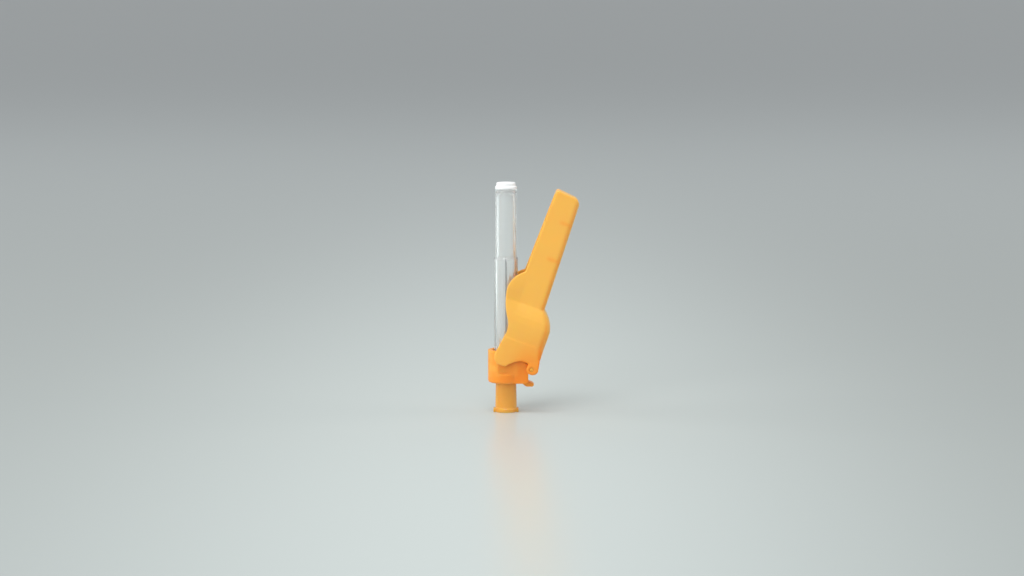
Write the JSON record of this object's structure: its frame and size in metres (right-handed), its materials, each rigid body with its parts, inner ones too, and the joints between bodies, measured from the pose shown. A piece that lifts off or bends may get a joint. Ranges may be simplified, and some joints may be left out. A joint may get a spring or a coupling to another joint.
{
  "type": "safety hypodermic needle",
  "caption": "Capped hypodermic needle with a tapered lug hub, a collar that carries a hinged safety shield, and a clear protective cap over the steel cannula.",
  "frame": {"origin": "middle of the socket's mouth, on the flange's end face, where the needle stands", "axes": "+Z along the cannula towards its point, +X from the cannula towards the shield's hinge, Y along the hinge axis"},
  "size_m": [0.0281, 0.0136, 0.0715],
  "materials": {
    "hub_plastic": "translucent amber moulding",
    "cannula_steel": "drawn and polished",
    "adhesive_resin": "clear cured resin",
    "collar_plastic": "milky orange moulding",
    "shield_plastic": "milky orange moulding",
    "cap_plastic": "clear moulding"
  },
  "bodies": {
    "hub": {"needle_hub": "hub_plastic", "cannula": "cannula_steel", "adhesive": "adhesive_resin", "collar": "collar_plastic"},
    "shield": {"safety_shield": "shield_plastic"},
    "cap": {"needle_cap": "cap_plastic"}
  },
  "joints": [
    {"name": "shield_hinge", "type": "hinge", "parent": "hub", "child": "shield", "pos_m": [0.0079, 0, 0.014], "axis": [0, 1, 0], "range_deg": [-8, 130]},
    {"name": "cap_pull", "type": "slide", "parent": "hub", "child": "cap", "axis": [0, 0, 1], "range_m": [0, 0.062]}
  ]
}
